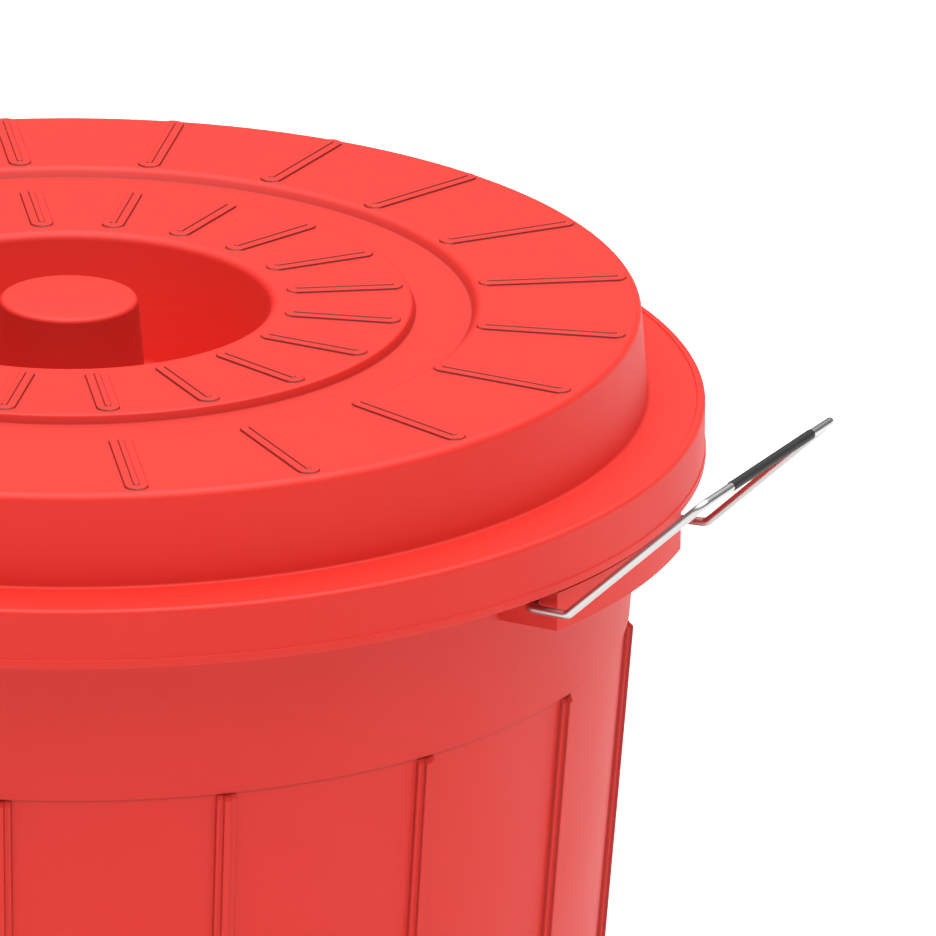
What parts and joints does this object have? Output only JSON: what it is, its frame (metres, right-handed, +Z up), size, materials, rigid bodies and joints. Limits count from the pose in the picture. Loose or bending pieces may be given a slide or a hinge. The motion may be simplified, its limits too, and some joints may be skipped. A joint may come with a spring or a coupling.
{
  "type": "lidded storage bin",
  "caption": "Round tapered plastic storage bin with ribbed walls, a recessed-knob lift-off lid and swinging wire bail handles with black sleeves.",
  "frame": {"origin": "centre of the underside of the tub, on the floor", "axes": "+Z up through the lid's knob, +X towards the right-hand handle"},
  "size_m": [0.763, 0.6194, 0.6418],
  "materials": {
    "tub_plastic": "satin moulded",
    "lid_plastic": "satin moulded",
    "bail_wire": "bright drawn wire",
    "grip_sleeve": "satin"
  },
  "bodies": {
    "tub": {"tub": "tub_plastic", "tub_rim": "tub_plastic", "bracket_right": "tub_plastic", "bracket_left": "tub_plastic"},
    "lid": {"lid": "lid_plastic", "lid_ledge": "lid_plastic", "lid_skirt": "lid_plastic"},
    "bail_right": {"bail_right": "bail_wire", "grip_right": "grip_sleeve"},
    "bail_left": {"bail_left": "bail_wire", "grip_left": "grip_sleeve"}
  },
  "joints": [
    {"name": "lid_lift", "type": "slide", "parent": "tub", "child": "lid", "axis": [0, 0, 1], "range_m": [0, 0.4]},
    {"name": "bail_right_swing", "type": "hinge", "parent": "tub", "child": "bail_right", "pos_m": [0.289, 0, 0.5565], "axis": [0, 1, 0], "range_deg": [-24, 130]},
    {"name": "bail_left_swing", "type": "hinge", "parent": "tub", "child": "bail_left", "pos_m": [-0.289, 0, 0.5565], "axis": [0, -1, 0], "range_deg": [-24, 130]}
  ]
}
